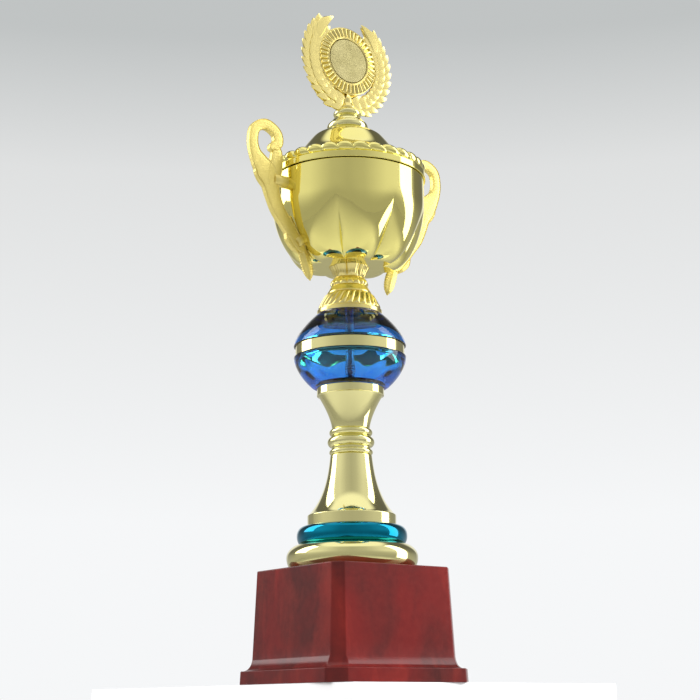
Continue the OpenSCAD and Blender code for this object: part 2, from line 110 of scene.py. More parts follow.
class Finish:
    """A material under construction: its Principled shader and short ways to add nodes to it."""

    def __init__(self, name, color, roughness, metallic=0.0, **sockets):
        self.material = bpy.data.materials.new(name)
        self.material.use_nodes = True
        self.tree = self.material.node_tree
        self.shader = self.tree.nodes["Principled BSDF"]
        self.shader.inputs["Base Color"].default_value = (*color, 1)
        self.shader.inputs["Roughness"].default_value = roughness
        self.shader.inputs["Metallic"].default_value = metallic
        for socket, value in sockets.items():
            self.shader.inputs[socket.replace("_", " ")].default_value = value

    def node(self, kind, links=(), **values):
        """Adds a node, sets its properties and inputs by name, and links (output, input) pairs."""
        new = self.tree.nodes.new(kind)
        for key, value in values.items():
            if hasattr(new, key):
                setattr(new, key, value)
            else:
                new.inputs[key.replace("_", " ")].default_value = value
        for output, name in links:
            self.tree.links.new(output, new.inputs[name])
        return new

    def place(self, scale=(1, 1, 1), turn=(0, 0, 0)):
        """Object coordinates, stretched and turned."""
        where = self.node("ShaderNodeTexCoord")
        return self.node("ShaderNodeMapping", [(where.outputs["Object"], "Vector")],
                         Scale=scale, Rotation=turn).outputs["Vector"]

    def noise(self, vector, scale, detail=4.0, roughness=0.55, distortion=0.0):
        """Fractal noise in 0 to 1 at that scale per metre."""
        return self.node("ShaderNodeTexNoise", [(vector, "Vector")], Scale=scale, Detail=detail,
                         Roughness=roughness, Distortion=distortion).outputs["Fac"]

    def ramp(self, value, *stops):
        """A colour ramp through (position, colour) stops."""
        new = self.node("ShaderNodeValToRGB", [(value, "Fac")])
        band = new.color_ramp
        for i, (position, color) in enumerate(stops):
            stop = band.elements[i] if i < 2 else band.elements.new(position)
            stop.position = position
            stop.color = (*color, 1)
        return new.outputs["Color"]

    def blend(self, amount, first, second, mode="MIX"):
        """Mixes two colours by a factor."""
        mixer = self.node("ShaderNodeMix", data_type="RGBA", blend_type=mode)
        for value, socket in ((amount, 0), (first, 6), (second, 7)):
            if hasattr(value, "is_linked"):
                self.tree.links.new(value, mixer.inputs[socket])
            else:
                mixer.inputs[socket].default_value = value if socket == 0 else (*value, 1)
        return mixer.outputs[2]

    def spread(self, value, low, high):
        """Maps 0..1 to low..high."""
        return self.node("ShaderNodeMapRange", [(value, "Value")],
                         To_Min=low, To_Max=high).outputs["Result"]

    def wire(self, output, socket):
        """Links an output to a socket of the shader."""
        self.tree.links.new(output, self.shader.inputs[socket])

    def bump(self, height, strength, distance):
        """Adds surface relief from a height."""
        relief = self.node("ShaderNodeBump", [(height, "Height")],
                           Strength=strength, Distance=distance)
        self.wire(relief.outputs["Normal"], "Normal")


def bright_gold(name, color, low, high, ripple):
    """Mirror gold: faint cloudiness in the polish, fine wiping marks and a slow ripple."""
    gold = Finish(name, color, low, metallic=1.0)
    clouds = gold.noise(gold.place(), 60, detail=5)
    marks = gold.noise(gold.place(scale=(1, 1, 14)), 420, detail=2)
    wear = gold.blend(0.35, clouds, marks)
    gold.wire(gold.spread(wear, low, high), "Roughness")
    tint = gold.ramp(clouds, (0.3, tuple(c * 0.96 for c in color)), (0.7, color))
    gold.wire(tint, "Base Color")
    gold.bump(gold.noise(gold.place(), 55, detail=2), ripple, 0.0004)
    return gold.material


def satin_gold(name, color):
    """Cast gold with a soft sheen: granular skin under fine slanting strokes."""
    gold = Finish(name, color, 0.3, metallic=0.6)
    grain = gold.noise(gold.place(), 900, detail=3)
    clouds = gold.noise(gold.place(), 90, detail=4)
    gold.wire(gold.ramp(clouds, (0.3, tuple(c * 0.9 for c in color)), (0.72, color)), "Base Color")
    gold.wire(gold.spread(grain, 0.24, 0.42), "Roughness")
    strokes = gold.noise(gold.place(scale=(1, 1, 5), turn=(0, 0.7, 0)), 260, detail=3)
    gold.bump(gold.blend(0.35, strokes, grain), 0.5, 0.0006)
    return gold.material


def blue_metal():
    """Metallised teal blue, mirror bright with a faint cloudiness."""
    blue = Finish("blue_metallic", (0.005, 0.21, 0.33), 0.08, metallic=1.0)
    clouds = blue.noise(blue.place(), 70, detail=5)
    blue.wire(blue.spread(clouds, 0.05, 0.13), "Roughness")
    blue.wire(blue.ramp(clouds, (0.3, (0.004, 0.18, 0.28)), (0.7, (0.006, 0.24, 0.37))), "Base Color")
    return blue.material


def clear_blue():
    """Clear blue plastic that deepens to indigo where the light crosses more of it."""
    blue = Finish("clear_blue", (0.75, 0.92, 1.0), 0.02, Transmission_Weight=1.0, IOR=1.49)
    absorb = blue.node("ShaderNodeVolumeAbsorption", Color=(0.04, 0.66, 0.945, 1), Density=560.0)
    output = blue.tree.nodes["Material Output"]
    blue.tree.links.new(absorb.outputs["Volume"], output.inputs["Volume"])
    blue.bump(blue.noise(blue.place(), 45, detail=1), 0.1, 0.0006)
    return blue.material


def marbled_red():
    """Glossy dark red plastic with soft darker patches and lighter streaks that run aslant."""
    red = Finish("marbled_red", (0.14, 0.012, 0.01), 0.16, Specular_IOR_Level=0.28)
    slant = (0.0, 0.6, 0.5)
    patches = red.noise(red.place(scale=(1, 1, 0.8), turn=slant), 24, detail=5, distortion=0.6)
    streaks = red.noise(red.place(scale=(1.6, 1.6, 0.5), turn=(0.5, 0.7, 0)), 30, detail=6,
                        roughness=0.62, distortion=0.4)
    grain = red.noise(red.place(), 320, detail=5)
    base = red.ramp(patches, (0.34, (0.062, 0.011, 0.010)), (0.62, (0.145, 0.010, 0.009)))
    light = red.ramp(streaks, (0.52, (0.0, 0.0, 0.0)), (0.74, (0.09, 0.008, 0.004)))
    mixed = red.blend(1.0, base, light, mode="ADD")
    red.wire(red.blend(0.10, mixed, red.ramp(grain, (0.3, (0.03, 0.006, 0.006)),
                                             (0.7, (0.24, 0.03, 0.02)))), "Base Color")
    red.wire(red.spread(grain, 0.12, 0.2), "Roughness")
    return red.material


def brushed_disc():
    """Matt gold sheet with fine sideways brushing."""
    disc = Finish("brushed_gold", (0.50, 0.44, 0.20), 0.3, metallic=1.0)
    hair = disc.noise(disc.place(scale=(1, 1, 30)), 260, detail=3)
    clouds = disc.noise(disc.place(), 120, detail=4)
    disc.wire(disc.ramp(clouds, (0.3, (0.42, 0.37, 0.16)), (0.7, (0.55, 0.49, 0.23))), "Base Color")
    disc.wire(disc.spread(hair, 0.24, 0.38), "Roughness")
    disc.bump(hair, 0.3, 0.0001)
    return disc.material


def zinc():
    """Bright zinc-plated steel with a mottled passivation."""
    steel = Finish("zinc_plate", (0.62, 0.63, 0.65), 0.28, metallic=1.0)
    clouds = steel.noise(steel.place(), 300, detail=4)
    steel.wire(steel.ramp(clouds, (0.35, (0.52, 0.54, 0.56)), (0.7, (0.70, 0.71, 0.70))), "Base Color")
    steel.wire(steel.spread(clouds, 0.2, 0.38), "Roughness")
    return steel.material


def cast_iron():
    """Rough dark cast iron."""
    iron = Finish("cast_iron", (0.08, 0.08, 0.08), 0.7, metallic=0.6)
    grain = iron.noise(iron.place(), 500, detail=6)
    iron.wire(iron.ramp(grain, (0.35, (0.05, 0.05, 0.05)), (0.7, (0.13, 0.12, 0.11))), "Base Color")
    iron.bump(grain, 0.6, 0.0005)
    return iron.material


def foam():
    """Black closed-cell foam with small pores."""
    black = Finish("black_foam", (0.02, 0.02, 0.02), 0.9)
    place = black.place()
    pores = black.node("ShaderNodeTexVoronoi", [(place, "Vector")], Scale=900.0).outputs["Distance"]
    tint = black.ramp(pores, (0.1, (0.008, 0.008, 0.008)), (0.5, (0.03, 0.03, 0.032)))
    black.wire(tint, "Base Color")
    black.bump(pores, 0.5, 0.0003)
    return black.material


CUP_GOLD = bright_gold("polished_gilt", (0.88, 0.80, 0.27), 0.035, 0.10, 0.02)
PLASTIC_GOLD = bright_gold("metallised_gold", (0.88, 0.82, 0.38), 0.045, 0.12, 0.03)
CHASED_GOLD = bright_gold("chased_gold", (0.90, 0.76, 0.28), 0.12, 0.24, 0.05)
SATIN_GOLD = satin_gold("satin_gilt", (0.88, 0.73, 0.22))
BLUE_METAL = blue_metal()
CLEAR_BLUE = clear_blue()
MARBLED_RED = marbled_red()
BRUSHED_DISC = brushed_disc()
ZINC = zinc()
IRON = cast_iron()
FOAM = foam()


# ---------------------------------------------------------------- meshes

def grid_faces(rows, cols, wrap_rows):
    """Quads of a grid of points whose columns close on themselves, and its rows too if asked."""
    i = np.arange(rows if wrap_rows else rows - 1)[:, None]
    j = np.arange(cols)[None, :]
    down, across = (i + 1) % rows, (j + 1) % cols
    corners = (i * cols + j, i * cols + across, down * cols + across, down * cols + j)
    return np.stack(np.broadcast_arrays(*corners), -1).reshape(-1, 4)


def outward(points, faces):
    """Turns a closed shell's faces round if the volume that they enclose comes out negative."""
    a, b, c, d = (points[faces[:, k]] for k in range(4))
    volume = np.einsum("ij,ij->", a, np.cross(b, c)) + np.einsum("ij,ij->", a, np.cross(c, d))
    return faces if volume > 0 else faces[:, ::-1]


def closed_grid(points, wrap_rows=True):
    """(points, faces) of a closed shell from a grid; open rows are closed by their first and last
    rows having shrunk to a point or an edge."""
    rows, cols = points.shape[:2]
    flat = points.reshape(-1, 3)
    return flat, outward(flat, grid_faces(rows, cols, wrap_rows))


def piece(name, shells, material, body, replaces=(), sharp=35):
    """Makes one object from closed shells in mm, smooth but for edges sharper than that angle."""
    counts = np.cumsum([0] + [len(p) for p, _ in shells])
    points = np.concatenate([p for p, _ in shells]) * MM
    faces = np.concatenate([f + start for (_, f), start in zip(shells, counts)])
    mesh = bpy.data.meshes.new(name)
    mesh.from_pydata(points, [], faces.tolist())
    mesh.validate()
    mesh.materials.append(material)
    obj = bpy.data.objects.new(name, mesh)
    bpy.context.collection.objects.link(obj)
    weld(mesh)
    mesh.shade_smooth()
    mesh.set_sharp_from_angle(angle=np.radians(sharp))
    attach(obj, body)
    if replaces:
        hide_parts(*replaces)
    return obj


def weld(mesh):
    """Merges points that lie together, such as those of a pole."""
    work = bmesh.new()
    work.from_mesh(mesh)
    bmesh.ops.remove_doubles(work, verts=work.verts, dist=1e-7)
    bmesh.ops.dissolve_degenerate(work, edges=work.edges, dist=1e-7)
    work.to_mesh(mesh)
    work.free()


def curve(p, u, v, q, n=16):
    """Points of a cubic Bezier curve from p to q with handles u and v."""
    t = np.linspace(0, 1, n + 1)[:, None]
    p, u, v, q = (np.asarray(x, float) for x in (p, u, v, q))
    return (1 - t)**3 * p + 3 * (1 - t)**2 * t * u + 3 * (1 - t) * t**2 * v + t**3 * q


def arc(centre, radius, start, end, n=12):
    """Points on a circle about a centre from one angle to another, in degrees."""
    t = np.radians(np.linspace(start, end, n + 1))
    return np.asarray(centre) + radius * np.stack([np.cos(t), np.sin(t)], -1)


def join(*parts):
    """One outline from points and lists of points."""
    return np.concatenate([np.atleast_2d(np.asarray(p, float)) for p in parts])


def soften(outline, radius=0.4, steps=5, limit=20):
    """Rounds each corner of a closed outline that turns by more than limit degrees with a
    quadratic curve that starts and ends radius from it, with a point just past each end to hold
    the flats flat."""
    out = []
    count = len(outline)
    t = np.linspace(0, 1, steps)[:, None]
    for i, p in enumerate(outline):
        before, after = outline[i - 1] - p, outline[(i + 1) % count] - p
        reach = min(np.linalg.norm(before), np.linalg.norm(after))
        before, after = before / np.linalg.norm(before), after / np.linalg.norm(after)
        turn = np.degrees(np.arccos(np.clip(-before @ after, -1, 1)))
        if turn < limit:
            out.append(p[None])
            continue
        cut = min(radius, reach * 0.4)
        start, end = p + before * cut, p + after * cut
        bend = (1 - t)**2 * start + 2 * (1 - t) * t * p + t**2 * end
        out += [(p + before * cut * 1.2)[None], bend, (p + after * cut * 1.2)[None]]
    return np.concatenate(out)


def fine(outline, step=1.2):
    """Adds points along the long straight stretches of a closed outline."""
    ends = np.roll(outline, -1, 0)
    counts = np.maximum(1, (np.linalg.norm(ends - outline, axis=1) / step).astype(int))
    return np.concatenate([a + (b - a) * np.linspace(0, 1, n, endpoint=False)[:, None]
                           for a, b, n in zip(outline, ends, counts)])


def turned(outline, turns=TURNS, waves=None):
    """A closed outline of (radius, height) turned about the axis. waves(angle, radius, height)
    gives a new radius and height at each point."""
    angle = np.linspace(0, 2 * pi, turns, endpoint=False)[None, :]
    radius, height = outline[:, :1], outline[:, 1:]
    radius, height = np.broadcast_arrays(radius + 0 * angle, height + 0 * angle)
    if waves:
        radius, height = waves(angle, radius, height)
    grid = np.stack([radius * np.cos(angle), radius * np.sin(angle), height], -1)
    return closed_grid(grid)


def ease(t):
    """Smooth step from 0 to 1."""
    t = np.clip(t, 0, 1)
    return t * t * (3 - 2 * t)


# ---------------------------------------------------------------- plinth

def cut_square(half, cut, edge):
    """Points of a square with its corners cut off, each of the eight edges slightly rounded."""
    h, c = half, cut
    corners = np.array([[h, c - h], [h, h - c], [h - c, h], [c - h, h],
                        [-h, h - c], [-h, c - h], [c - h, -h], [h - c, -h]])
    return soften(corners, radius=edge)


def make_plinth():
    """A stack of cut squares: (half width, height, corner cut) along the moulding's outline,
    up the outside, in to the rod's hole, and back down the inner faces."""
    foot_half = half_width("base_shell")
    wall = 2.2
    foot_h, cove_top, top = 7.0, 12.8, PLINTH_TOP
    box_half, top_half = 39.2, 37.3
    foot_cut, box_cut, top_cut = 7.9, 5.4, 4.6
    octagon = 0.5858     # corner cut of a regular octagon, as a share of its half width
    lip = foot_half - 1.3
    cove = curve([lip, foot_h], [lip - 2.2, foot_h + 0.5], [box_half + 1.1, cove_top - 3.2],
                 [box_half + 0.15, cove_top], 10)
    outline = join([[foot_half, 0], [foot_half - 0.3, foot_h]], cove,
                   [[top_half, top], [ROD_HOLE, top], [ROD_HOLE, top - wall],
                    [top_half - wall, top - wall], [box_half - wall, foot_h - wall],
                    [foot_half - wall, foot_h - wall], [foot_half - wall, 0]])
    outline = fine(soften(outline, radius=0.55), step=6)
    rows = []
    for half, z in outline:
        cut = np.interp(z, [0, foot_h, cove_top, top], [foot_cut, foot_cut, box_cut, top_cut])
        square = cut_square(half, min(cut, half * octagon), min(0.5, half * 0.1))
        rows.append(np.column_stack([square, np.full(len(square), z)]))
    piece("plinth", [closed_grid(np.array(rows))], MARBLED_RED, "root",
          ["base_shell"])


# ---------------------------------------------------------------- rings and column

def make_gold_ring():
    """A turned cushion ring on the plinth."""
    r, z, h, top = half_width("gold_ring"), GOLD_Z, BLUE_Z - GOLD_Z, half_width("blue_ring") - 0.4
    outline = join(curve([r - 2.2, z], [r - 1, z + h * 0.1], [r, z + h * 0.25], [r, z + h / 2]),
                   curve([r, z + h / 2], [r, z + h * 0.78], [top + 2, z + h], [top, z + h])[1:],
                   [[ROD_HOLE, z + h], [ROD_HOLE, z + h - 2], [top - 2, z + h - 2],
                    [r - 3, z + h / 2], [r - 4.2, z]])
    piece("lower_ring", [turned(fine(soften(outline)))], PLASTIC_GOLD, "root",
          ["gold_ring"])


def make_blue_ring():
    """A turned blue ring on the gold one."""
    r, z, h = half_width("blue_ring"), BLUE_Z, COLUMN_Z - BLUE_Z
    foot, top = r - 2.4, half_width("column") + 1.6
    outline = join(curve([foot, z], [foot + 1, z], [r, z + h * 0.2], [r, z + h * 0.48]),
                   curve([r, z + h * 0.48], [r, z + h * 0.8], [top + 2.4, z + h], [top, z + h])[1:],
                   [[ROD_HOLE, z + h], [ROD_HOLE, z + h - 2], [top - 2, z + h - 2],
                    [r - 2.8, z + h / 2], [foot - 2, z]])
    piece("upper_ring", [turned(fine(soften(outline)))], BLUE_METAL, "root",
          ["blue_ring"])


def make_column():
    """The column's outline: foot band, a flare that sinks as an exponential, three beads, a flare
    that rises as a power of the height, and the top band."""
    z0, z1 = COLUMN_Z, LOWER_Z
    foot_r, top_r, bead_r, skin = half_width("column"), 17.8, 12.4, 2.0
    foot_h, top_h, bead_share = 5.8, 4.3, 0.508
    waist = bead_r - 2.4
    fall_z, bead_z = z0 + foot_h + 0.6, z0 + (z1 - z0) * bead_share
    rise_z, rise_top = bead_z + 14.4, z1 - top_h
    fall = np.linspace(fall_z, bead_z, 30)
    fall_r = waist - 0.4 + (foot_r - waist - 0.5) * np.exp((fall_z - fall) / 14)
    rise = np.linspace(rise_z, rise_top, 22)
    rise_r = waist + (top_r - 0.8 - waist) * ((rise - rise_z) / (rise_top - rise_z))**1.5
    falling, rising = np.stack([fall_r, fall], -1), np.stack([rise_r, rise], -1)
    beads = [arc([bead_r - inset, bead_z + up], radius, start, end) for inset, up, radius, start, end
             in ((2.4, 1.7, 1.5, -80, 80), (3, 7.1, 3, -72, 72), (3, 12.2, 2, -75, 80))]
    outline = join([foot_r - skin, z0], [foot_r, z0], [foot_r, z0 + foot_h], falling, *beads, rising,
                   [top_r, rise_top], [top_r, z1], [ROD_HOLE, z1], [ROD_HOLE, z1 - skin],
                   [top_r - skin, z1 - skin], (rising - [skin, 0])[::-1], (falling - [skin, 0])[::-1])
    piece("column_moulding", [turned(fine(soften(outline, radius=0.35)))], PLASTIC_GOLD, "root",
          ["column"])


# ---------------------------------------------------------------- ball

BALL_WALL = 2.6


def lower_dome(d):
    """Outline of the ball's lower half, from foot to joint, set in by d."""
    foot, r = 20.2 - d, half_width("ball_lower") - d
    return curve([foot, LOWER_Z + 0.6 + d], [foot + 3.2, LOWER_Z + 3 + d],
                 [r - 0.4, LOWER_Z + 10], [r, BAND_Z], 24)


def upper_dome(d):
    """Outline of the ball's upper half, from joint to crown, set in by d."""
    r, crown = half_width("ball_upper") - d, 17.5 - d
    return curve([r, UPPER_Z], [r - 0.8, UPPER_Z + 5.5], [crown + 6, UPPER_Z + 12.3 - d],
                 [crown, STEM_Z - d], 24)


def make_ball():
    """Two clear halves and the gold ring between them. The lower half's inner face ripples a
    little: its radius gains a product of sines of the angle and the height."""
    def ripple(angle, radius, height):
        dome = lower_dome(BALL_WALL)
        inside = ease((np.interp(height, dome[:, 1], dome[:, 0]) + 0.6 - radius) / 0.4)
        deep = ease((radius - 12) / 6)
        wave = np.sin(9 * angle + 1.2 * np.sin(4 * angle)) * np.sin(0.6 * (height - LOWER_Z) + 0.8)
        return radius - 0.3 * wave * inside * deep, height

    lower = join([ROD_HOLE, LOWER_Z], [18.8, LOWER_Z], lower_dome(0), lower_dome(BALL_WALL)[::-1],
                 [ROD_HOLE, LOWER_Z + 0.6 + BALL_WALL])
    piece("ball_lower_half", [turned(fine(soften(lower)), waves=ripple)], CLEAR_BLUE, "root",
          ["ball_lower"])
    upper = join(upper_dome(0), [ROD_HOLE, STEM_Z], [ROD_HOLE, STEM_Z - BALL_WALL],
                 upper_dome(BALL_WALL)[::-1])
    piece("ball_upper_half", [turned(fine(soften(upper)))], CLEAR_BLUE, "root",
          ["ball_upper"])
    r, lip = half_width("ball_ring"), half_width("ball_upper") - BALL_WALL - 0.8
    z0, z1 = BAND_Z, UPPER_Z
    band = np.array([[lip, z0 - 1.5], [lip, z0], [r, z0], [r, z1], [lip, z1], [lip, z1 + 1.5],
                     [lip - 1.2, z1 + 1.5], [lip - 1.2, z0 - 1.5]])
    piece("ball_band", [turned(fine(soften(band, radius=0.3)))], PLASTIC_GOLD, "root",
          ["ball_ring"])


def make_tie_rod():
    """Threaded rod: the radius is a triangle wave of height less one turn of the angle."""
    low, high = level("tie_rod"), level("tie_rod", top=True)
    rod_r, pitch, depth, cols = 2.5, 0.8, 0.45, 24
    z = np.linspace(low, high, int((high - low) / pitch * 4) + 1)[:, None]
    angle = np.linspace(0, 2 * pi, cols, endpoint=False)[None, :]
    wave = np.abs(2 * ((z / pitch - angle / (2 * pi)) % 1) - 1)
    radius = rod_r - depth * wave
    grid = np.stack([radius * np.cos(angle), radius * np.sin(angle), z + 0 * angle], -1)
    caps = [np.broadcast_to([0, 0, h], (1, cols, 3)) for h in (low, high)]
    grid = np.concatenate([caps[0], grid, caps[1]])
    piece("threaded_rod", [closed_grid(grid, wrap_rows=False)], ZINC, "root",
          ["tie_rod"], sharp=80)


# ---------------------------------------------------------------- stem

def make_stem():
    """Slanted ribs, a plain cone, a row of drops and a calyx of eight leaves: the outer radius
    gains a rectified sine of the angle in each zone, which leans with height on the ribs."""
    foot_r, waist_r, skin = half_width("stem"), 8.2, 2.0
    calyx_r, waist_z = waist_r + 2.2, STEM_Z + (CUP_Z - STEM_Z) * 0.77
    skirt = curve([foot_r - 0.9, STEM_Z + 2.6], [foot_r - 1.8, STEM_Z + 7],
                  [waist_r + 2, STEM_Z + 13], [waist_r, waist_z], 40)
    calyx = curve([waist_r, waist_z], [waist_r, waist_z + 3], [calyx_r - 1, CUP_Z - 2],
                  [calyx_r, CUP_Z], 16)
    outline = join([foot_r, STEM_Z], [foot_r, STEM_Z + 2.2], skirt, calyx[1:],
                   [ROD_HOLE, CUP_Z], [ROD_HOLE, CUP_Z - skin], [calyx_r - 1 - skin, CUP_Z - skin],
                   (skirt - [skin, 0])[::-1], [foot_r - skin, STEM_Z])
    rib_foot, rib_top, drop_mid, leaf_foot = 3, 10.9, 17.9, 20.4     # heights above the stem's foot
    line_heights = (11.2, 15.6, 20.2)

    def chase(angle, radius, height):
        inner = radius < np.interp(height, skirt[:, 1], skirt[:, 0]) - 0.8
        up = height - STEM_Z
        on_ribs = ease((up - rib_foot) / 0.8) * ease((rib_top - up) / 0.8)
        ribs = (np.abs(np.sin(13 * angle - 0.3 * up))**0.7 - 0.55) * on_ribs
        drops = np.abs(np.sin(8 * angle))**0.7 * np.exp(-((up - drop_mid) / 1.7)**4)
        leaves = (np.abs(np.sin(4 * angle))**0.6 - 0.5) * ease((up - leaf_foot) / 1.4)
        veins = 0.25 * np.abs(np.sin(16 * angle)) * ease((up - leaf_foot - 0.4) / 1.4)
        lines = sum(np.exp(-((up - at) / 0.3)**2) for at in line_heights)
        relief = 1.1 * ribs + 1.0 * drops + 1.1 * leaves + veins - 0.35 * lines
        return np.where(inner, radius, radius + relief), height

    piece("stem_moulding", [turned(fine(soften(outline, radius=0.3), 0.5), 416, waves=chase)],
          CHASED_GOLD, "root", ["stem"])


# ---------------------------------------------------------------- cup

LOBES = 8
BOTTOM_R, ROUND_H = 22, 32     # radius of the cup's flat bottom, and height of its round part, mm


def bowl_radius(z):
    """Radius of the bowl's crests: a rounded bottom, then an upright wall."""
    t = np.clip((CUP_Z + ROUND_H - z) / ROUND_H, 0, 1)
    return BOTTOM_R + (CUP_R - BOTTOM_R) * np.sqrt(np.maximum(0, 1 - t**1.7))


def make_cup():
    """Eight lobes are pressed into the lower wall: the valleys between them are deep at the
    bottom and fade out upwards, and each lobe is a rectified sine of the angle."""
    wall, deepest, pressed_h = 1.0, 5, 30
    s = np.linspace(0, 1, 60)
    z = CUP_Z + (RIM_Z - CUP_Z) * s**1.8
    side = np.stack([bowl_radius(z), z], -1)
    inner = side[::-1] - [wall, 0]
    inner[:, 1] = np.maximum(inner[:, 1], CUP_Z + wall)
    outline = join([ROD_HOLE, CUP_Z], [11, CUP_Z], [16, CUP_Z], side, inner, [ROD_HOLE, CUP_Z + wall])

    def press(angle, radius, height):
        depth = deepest * (1 - ease((height - CUP_Z - 6) / pressed_h))
        depth = depth * ease((radius - 11) / 9)
        lobe = np.abs(np.sin(LOBES / 2 * angle))**0.8
        return radius - depth * (1 - lobe), height

    piece("cup", [turned(fine(soften(outline, radius=0.35), 1.0), 384, waves=press)], CUP_GOLD, "root",
          ["cup_bowl"])


# ---------------------------------------------------------------- lid

def make_lid():
    """Rim band, an edge of thirty rounded lobes, a hollow-sided dome and a shoulder."""
    wall, skirt_r, top, lobes = 1.0, CUP_R - 1.3, NECK_Z, 30
    dome_r = LID_R - 3.9
    dome = curve([dome_r, DOME_Z + 5.6], [dome_r - 9, DOME_Z + 7], [26, DOME_Z + 14],
                 [20, top - 4], 30)
    shoulder = curve([20, top - 4], [18, top - 1.6], [14.4, top - 0.4], [11.4, top], 12)
    bead = arc([LID_R - 3.2, DOME_Z + 2.9], 3.1, -70, 100, 18)
    outline = join([skirt_r - wall, LID_Z - 4.4], [skirt_r, LID_Z - 4.4], [skirt_r, LID_Z],
                   [LID_R, LID_Z], [LID_R, DOME_Z], bead, dome, shoulder[1:],
                   [SCREW_HOLE, top], [SCREW_HOLE, top - wall], (shoulder - [0, wall])[::-1],
                   (dome - [wall * 0.6, wall])[::-1], [skirt_r - wall, DOME_Z + 3])

    def gadroon(angle, radius, height):
        up = height - DOME_Z
        on_bead = ease((radius - (dome_r - 1.5)) / 2) * ease((up - 0.1) / 0.5)
        lobe = np.abs(np.sin(lobes / 2 * angle + 0.16 * up))**0.5
        fall = on_bead * (1 - lobe)
        return radius - 1.1 * fall, height - 1.5 * fall * ease((up - 1) / 3)

    piece("lid", [turned(fine(soften(outline, radius=0.3), 1.0), 480, waves=gadroon)], CUP_GOLD, "lid",
          ["lid_shell"])


def make_neck():
    """Two turned beads between the lid and the wreath."""
    z, h, r = NECK_Z, WREATH_Z - NECK_Z, 11.4
    outline = join([SCREW_HOLE, z], [r - 1, z], arc([r - 3, z + 3.2], 3, -65, 75), [8.4, z + 7.6],
                   [6, z + 8.8], arc([5.9, z + 11.2], 1.9, -75, 75), [5.6, z + h], [SCREW_HOLE, z + h])
    piece("neck_beads", [turned(fine(soften(outline, radius=0.3), 0.8))], PLASTIC_GOLD, "lid",
          ["finial_neck"])


# ---------------------------------------------------------------- wreath

def leaf(base, tip, width, thick, lift=0.0, bend=0.0, rows=14, cols=10):
    """A laurel leaf: its half width is a sine-like arch along its length, its front stands up on
    either side of a sunk midrib, and its back is flat. base and tip are (x, z), lift raises the
    leaf towards the front, and bend bows its midline sideways."""
    base, tip = np.asarray(base, float), np.asarray(tip, float)
    t = np.linspace(0, 1, rows)[:, None]
    along = tip - base
    length = np.linalg.norm(along)
    along = along / length
    side = np.array([-along[1], along[0]])
    half = width * np.sin(pi * t**0.8)**0.75
    around = np.linspace(0, 2 * pi, cols, endpoint=False)[None, :]
    across, rise = np.cos(around), np.sin(around)
    height = np.where(rise > 0, thick * rise * (0.35 + 0.9 * np.abs(across)**0.8), 0.25 * thick * rise)
    height = height * np.sin(pi * np.clip(t, 0.02, 0.98))**0.4
    bow = bend * np.sin(pi * t)
    x = base[0] + along[0] * length * t + side[0] * (half * across + bow)
    z = base[1] + along[1] * length * t + side[1] * (half * across + bow)
    y = -(lift + height)
    return closed_grid(np.stack([x + 0 * y, y, z + 0 * y], -1), wrap_rows=False)


def through(points, count):
    """A smooth path through a few points (x, z, ...), evenly spaced (centripetal Catmull-Rom)."""
    p = np.asarray(points, float)
    steps = np.linalg.norm(np.diff(p[:, :2], axis=0), axis=1)**0.5
    p = np.concatenate([2 * p[:1] - p[1:2], p, 2 * p[-1:] - p[-2:-1]])
    t = np.concatenate([[-steps[0], 0], np.cumsum(steps), [steps.sum() + steps[-1]]])
    u = np.linspace(0, steps.sum(), count)
    k = np.clip(np.searchsorted(t, u, "right") - 1, 1, len(p) - 3)
    t0, t1, t2, t3 = (t[k + i][:, None] for i in (-1, 0, 1, 2))
    p0, p1, p2, p3 = (p[k + i] for i in (-1, 0, 1, 2))
    u = u[:, None]
    a1 = (t1 - u) / (t1 - t0) * p0 + (u - t0) / (t1 - t0) * p1
    a2 = (t2 - u) / (t2 - t1) * p1 + (u - t1) / (t2 - t1) * p2
    a3 = (t3 - u) / (t3 - t2) * p2 + (u - t2) / (t3 - t2) * p3
    b1 = (t2 - u) / (t2 - t0) * a1 + (u - t0) / (t2 - t0) * a2
    b2 = (t3 - u) / (t3 - t1) * a2 + (u - t1) / (t3 - t1) * a3
    return (t2 - u) / (t2 - t1) * b1 + (u - t1) / (t2 - t1) * b2


# (share of the half width, share of the half thickness) from a band's edge to near its middle
RIMMED = [(1, 0), (0.99, 0.55), (0.96, 0.92), (0.92, 1), (0.88, 0.96), (0.85, 0.78), (0.80, 0.82),
          (0.5, 0.88), (0.2, 0.9)]
KEELED = [(1, 0), (0.97, 0.35), (0.85, 0.5), (0.6, 0.62), (0.35, 0.72), (0.2, 0.86), (0.1, 0.98)]


def band(points, thick, section=RIMMED, middle=0.0, teeth=0.0, count=80):
    """A flat casting carried along a smooth path of (x, z, half width) in the X-Z plane, centred
    on y = middle. section shapes its faces, and teeth waves its edges. Both ends close to a
    point."""
    path = through(points, count)
    line, half = path[:, :2], np.maximum(path[:, 2], 0.05)
    step = np.gradient(line, axis=0)
    step /= np.linalg.norm(step, axis=1)[:, None]
    side = np.stack([-step[:, 1], step[:, 0]], -1)
    half = (half * (1 + teeth * np.abs(np.sin(np.arange(count) * 0.55))))[:, None]
    front = np.array(section)
    face = np.concatenate([front, front[:0:-1] * [-1, 1]])
    ring = np.concatenate([face, [[-1, 0]], face[:0:-1] * [1, -1]])
    across, depth = ring[:, 0], ring[:, 1]
    x = line[:, :1] + side[:, :1] * half * across
    z = line[:, 1:] + side[:, 1:] * half * across
    y = middle + thick / 2 * np.minimum(1, half / 1.5) * depth
    grid = np.stack([x, y, z], -1)
    ends = [np.broadcast_to([line[i, 0], middle, line[i, 1]], (1, len(ring), 3)) for i in (0, -1)]
    return closed_grid(np.concatenate([ends[0], grid, ends[1]]), wrap_rows=False)


